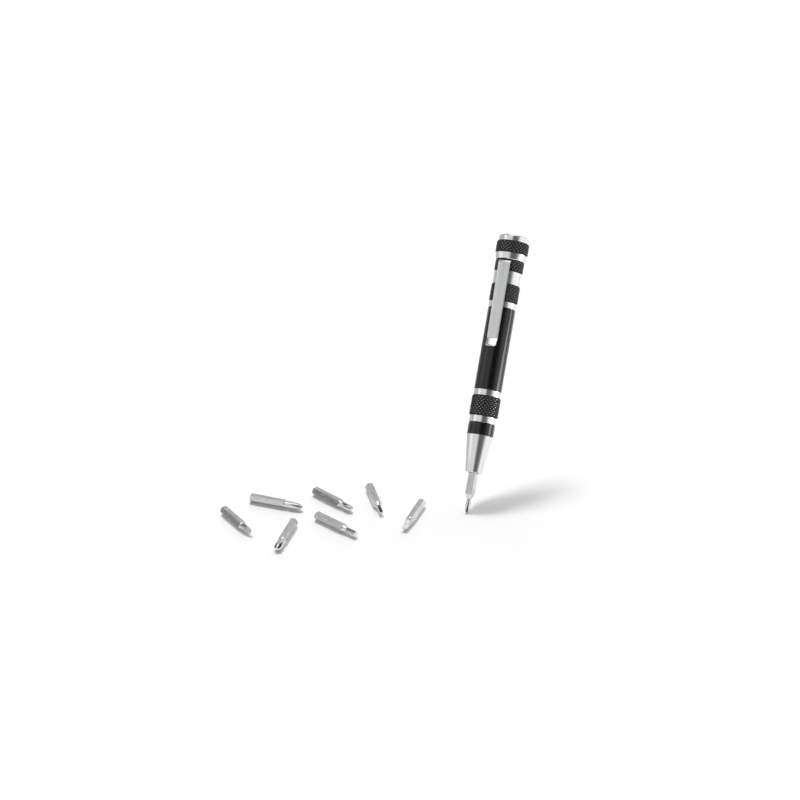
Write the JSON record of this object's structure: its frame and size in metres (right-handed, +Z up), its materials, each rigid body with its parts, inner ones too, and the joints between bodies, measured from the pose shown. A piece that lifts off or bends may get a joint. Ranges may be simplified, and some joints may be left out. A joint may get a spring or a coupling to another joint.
{
  "type": "pocket screwdriver",
  "caption": "Pen-style pocket screwdriver with a knurled screw cap, sprung pocket clip, bit store in the barrel, magnetic hexagon nose and a scattered set of spare bits.",
  "frame": {"origin": "the point of the fitted bit, where the driver stands on the floor", "axes": "+Z up; +Y the way the driver leans back, 36 degrees from upright; the spare bits lie on the floor towards -X"},
  "size_m": [0.1219, 0.1475, 0.1158],
  "materials": {
    "black_anodised": "black anodised, gloss on turned faces, knurled on the grips",
    "bright_aluminium": "bright turned",
    "bit_steel": "satin nickel plate over drawn steel",
    "spring_steel": "satin nickel plate over stamped spring steel",
    "magnet": "plated magnet",
    "soft_rubber": "matt soft rubber"
  },
  "bodies": {
    "fitted_bit": {"fitted_bit": "bit_steel"},
    "handle": {"nose_cone": "bright_aluminium", "bit_socket": "bit_steel", "socket_magnet": "magnet", "magazine_tube": "bright_aluminium", "nose_collar": "black_anodised", "lower_trim_ring": "bright_aluminium", "lower_grip": "black_anodised", "barrel_ring_lower": "bright_aluminium", "barrel": "black_anodised", "barrel_ring_upper": "bright_aluminium", "middle_grip": "black_anodised", "spacer_ring": "bright_aluminium", "upper_grip": "black_anodised", "clip_ring": "spring_steel", "clip_lock_ring": "black_anodised"},
    "clip": {"pocket_clip": "spring_steel"},
    "cap_pad": {"cap_pad": "soft_rubber"},
    "cap": {"cap_core": "bright_aluminium", "cap_grip": "black_anodised", "cap_disc": "bright_aluminium"},
    "spare_slot_wide": {"spare_slot_wide": "bit_steel"},
    "spare_cross_long": {"spare_cross_long": "bit_steel"},
    "spare_cross_large": {"spare_cross_large": "bit_steel"},
    "spare_cross_necked": {"spare_cross_necked": "bit_steel"},
    "spare_star": {"spare_star": "bit_steel"},
    "spare_slot_narrow": {"spare_slot_narrow": "bit_steel"},
    "spare_slot_broad": {"spare_slot_broad": "bit_steel"}
  },
  "joints": [
    {"name": "handle_pull", "type": "slide", "parent": "fitted_bit", "child": "handle", "axis": [0, 0.5878, 0.809], "range_m": [0, 0.012]},
    {"name": "clip_flex", "type": "hinge", "parent": "handle", "child": "clip", "pos_m": [-0.00074, 0.06609, 0.10573], "axis": [-0.9962, 0.0705, -0.0512], "range_deg": [0, 5], "stiffness_Nm_per_rad": 0.04, "springref_deg": -1.72},
    {"name": "cap_rise", "type": "slide", "parent": "handle", "child": "cap_pad", "axis": [0, 0.5878, 0.809], "range_m": [0, 0.036]},
    {"name": "cap_turn", "type": "hinge", "parent": "cap_pad", "child": "cap", "pos_m": [0, 0.07709, 0.10645], "axis": [0, 0.5878, 0.809], "range_deg": [0, 2160]},
    {"name": "lift_slot_wide", "type": "slide", "parent": "fitted_bit", "child": "spare_slot_wide", "axis": [0, 0, 1], "range_m": [0, 0.03]},
    {"name": "lift_cross_long", "type": "slide", "parent": "fitted_bit", "child": "spare_cross_long", "axis": [0, 0, 1], "range_m": [0, 0.03]},
    {"name": "lift_cross_large", "type": "slide", "parent": "fitted_bit", "child": "spare_cross_large", "axis": [0, 0, 1], "range_m": [0, 0.03]},
    {"name": "lift_cross_necked", "type": "slide", "parent": "fitted_bit", "child": "spare_cross_necked", "axis": [0, 0, 1], "range_m": [0, 0.03]},
    {"name": "lift_star", "type": "slide", "parent": "fitted_bit", "child": "spare_star", "axis": [0, 0, 1], "range_m": [0, 0.03]},
    {"name": "lift_slot_narrow", "type": "slide", "parent": "fitted_bit", "child": "spare_slot_narrow", "axis": [0, 0, 1], "range_m": [0, 0.03]},
    {"name": "lift_slot_broad", "type": "slide", "parent": "fitted_bit", "child": "spare_slot_broad", "axis": [0, 0, 1], "range_m": [0, 0.03]}
  ],
  "couplings": [
    {"joint": "cap_rise", "follows": "cap_turn", "m_per_rad": 0.00095493}
  ]
}
